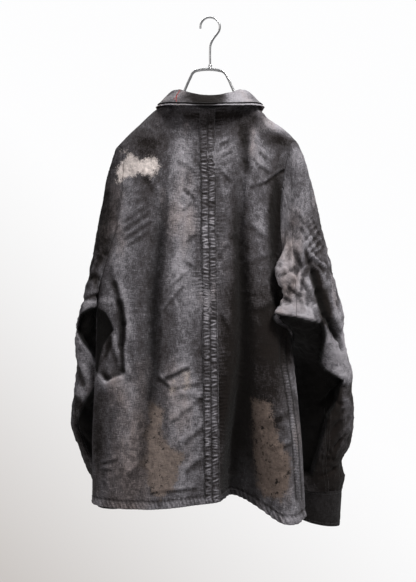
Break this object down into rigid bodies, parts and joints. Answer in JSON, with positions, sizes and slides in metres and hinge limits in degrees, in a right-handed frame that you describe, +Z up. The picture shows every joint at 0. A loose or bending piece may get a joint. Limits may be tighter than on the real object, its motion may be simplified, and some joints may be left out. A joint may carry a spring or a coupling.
{
  "type": "boro work jacket on a wire hanger",
  "caption": "Faded work jacket hanging open-necked on a chrome wire hanger, seen from its back, with a puckered centre seam and worn-through pale patches",
  "frame": {"origin": "underside of the hook's crown, where the hanger hangs on a rail", "axes": "+Z up, +Y the way the wearer faces, +X the wearer's right, so the back faces -Y"},
  "size_m": [0.5543, 0.2511, 0.985],
  "materials": {
    "worn_chambray": "matt, faded and worn",
    "button_shell": "satin",
    "chrome_wire": "polished"
  },
  "bodies": {
    "root": {"back_left": "worn_chambray", "back_right": "worn_chambray", "back_seam": "worn_chambray", "front_left": "worn_chambray", "front_right": "worn_chambray", "front_placket": "worn_chambray", "sleeve_left_top": "worn_chambray", "sleeve_left_under": "worn_chambray", "sleeve_right_top": "worn_chambray", "sleeve_right_under": "worn_chambray", "cuff_left": "worn_chambray", "cuff_right": "worn_chambray", "collar_stand": "worn_chambray", "collar_fall": "worn_chambray", "front_button_1": "button_shell", "front_button_2": "button_shell", "front_button_3": "button_shell", "front_button_4": "button_shell", "front_button_5": "button_shell", "hanger_frame": "chrome_wire", "hanger_hook": "chrome_wire", "hanger_ferrule": "chrome_wire"}
  },
  "joints": []
}
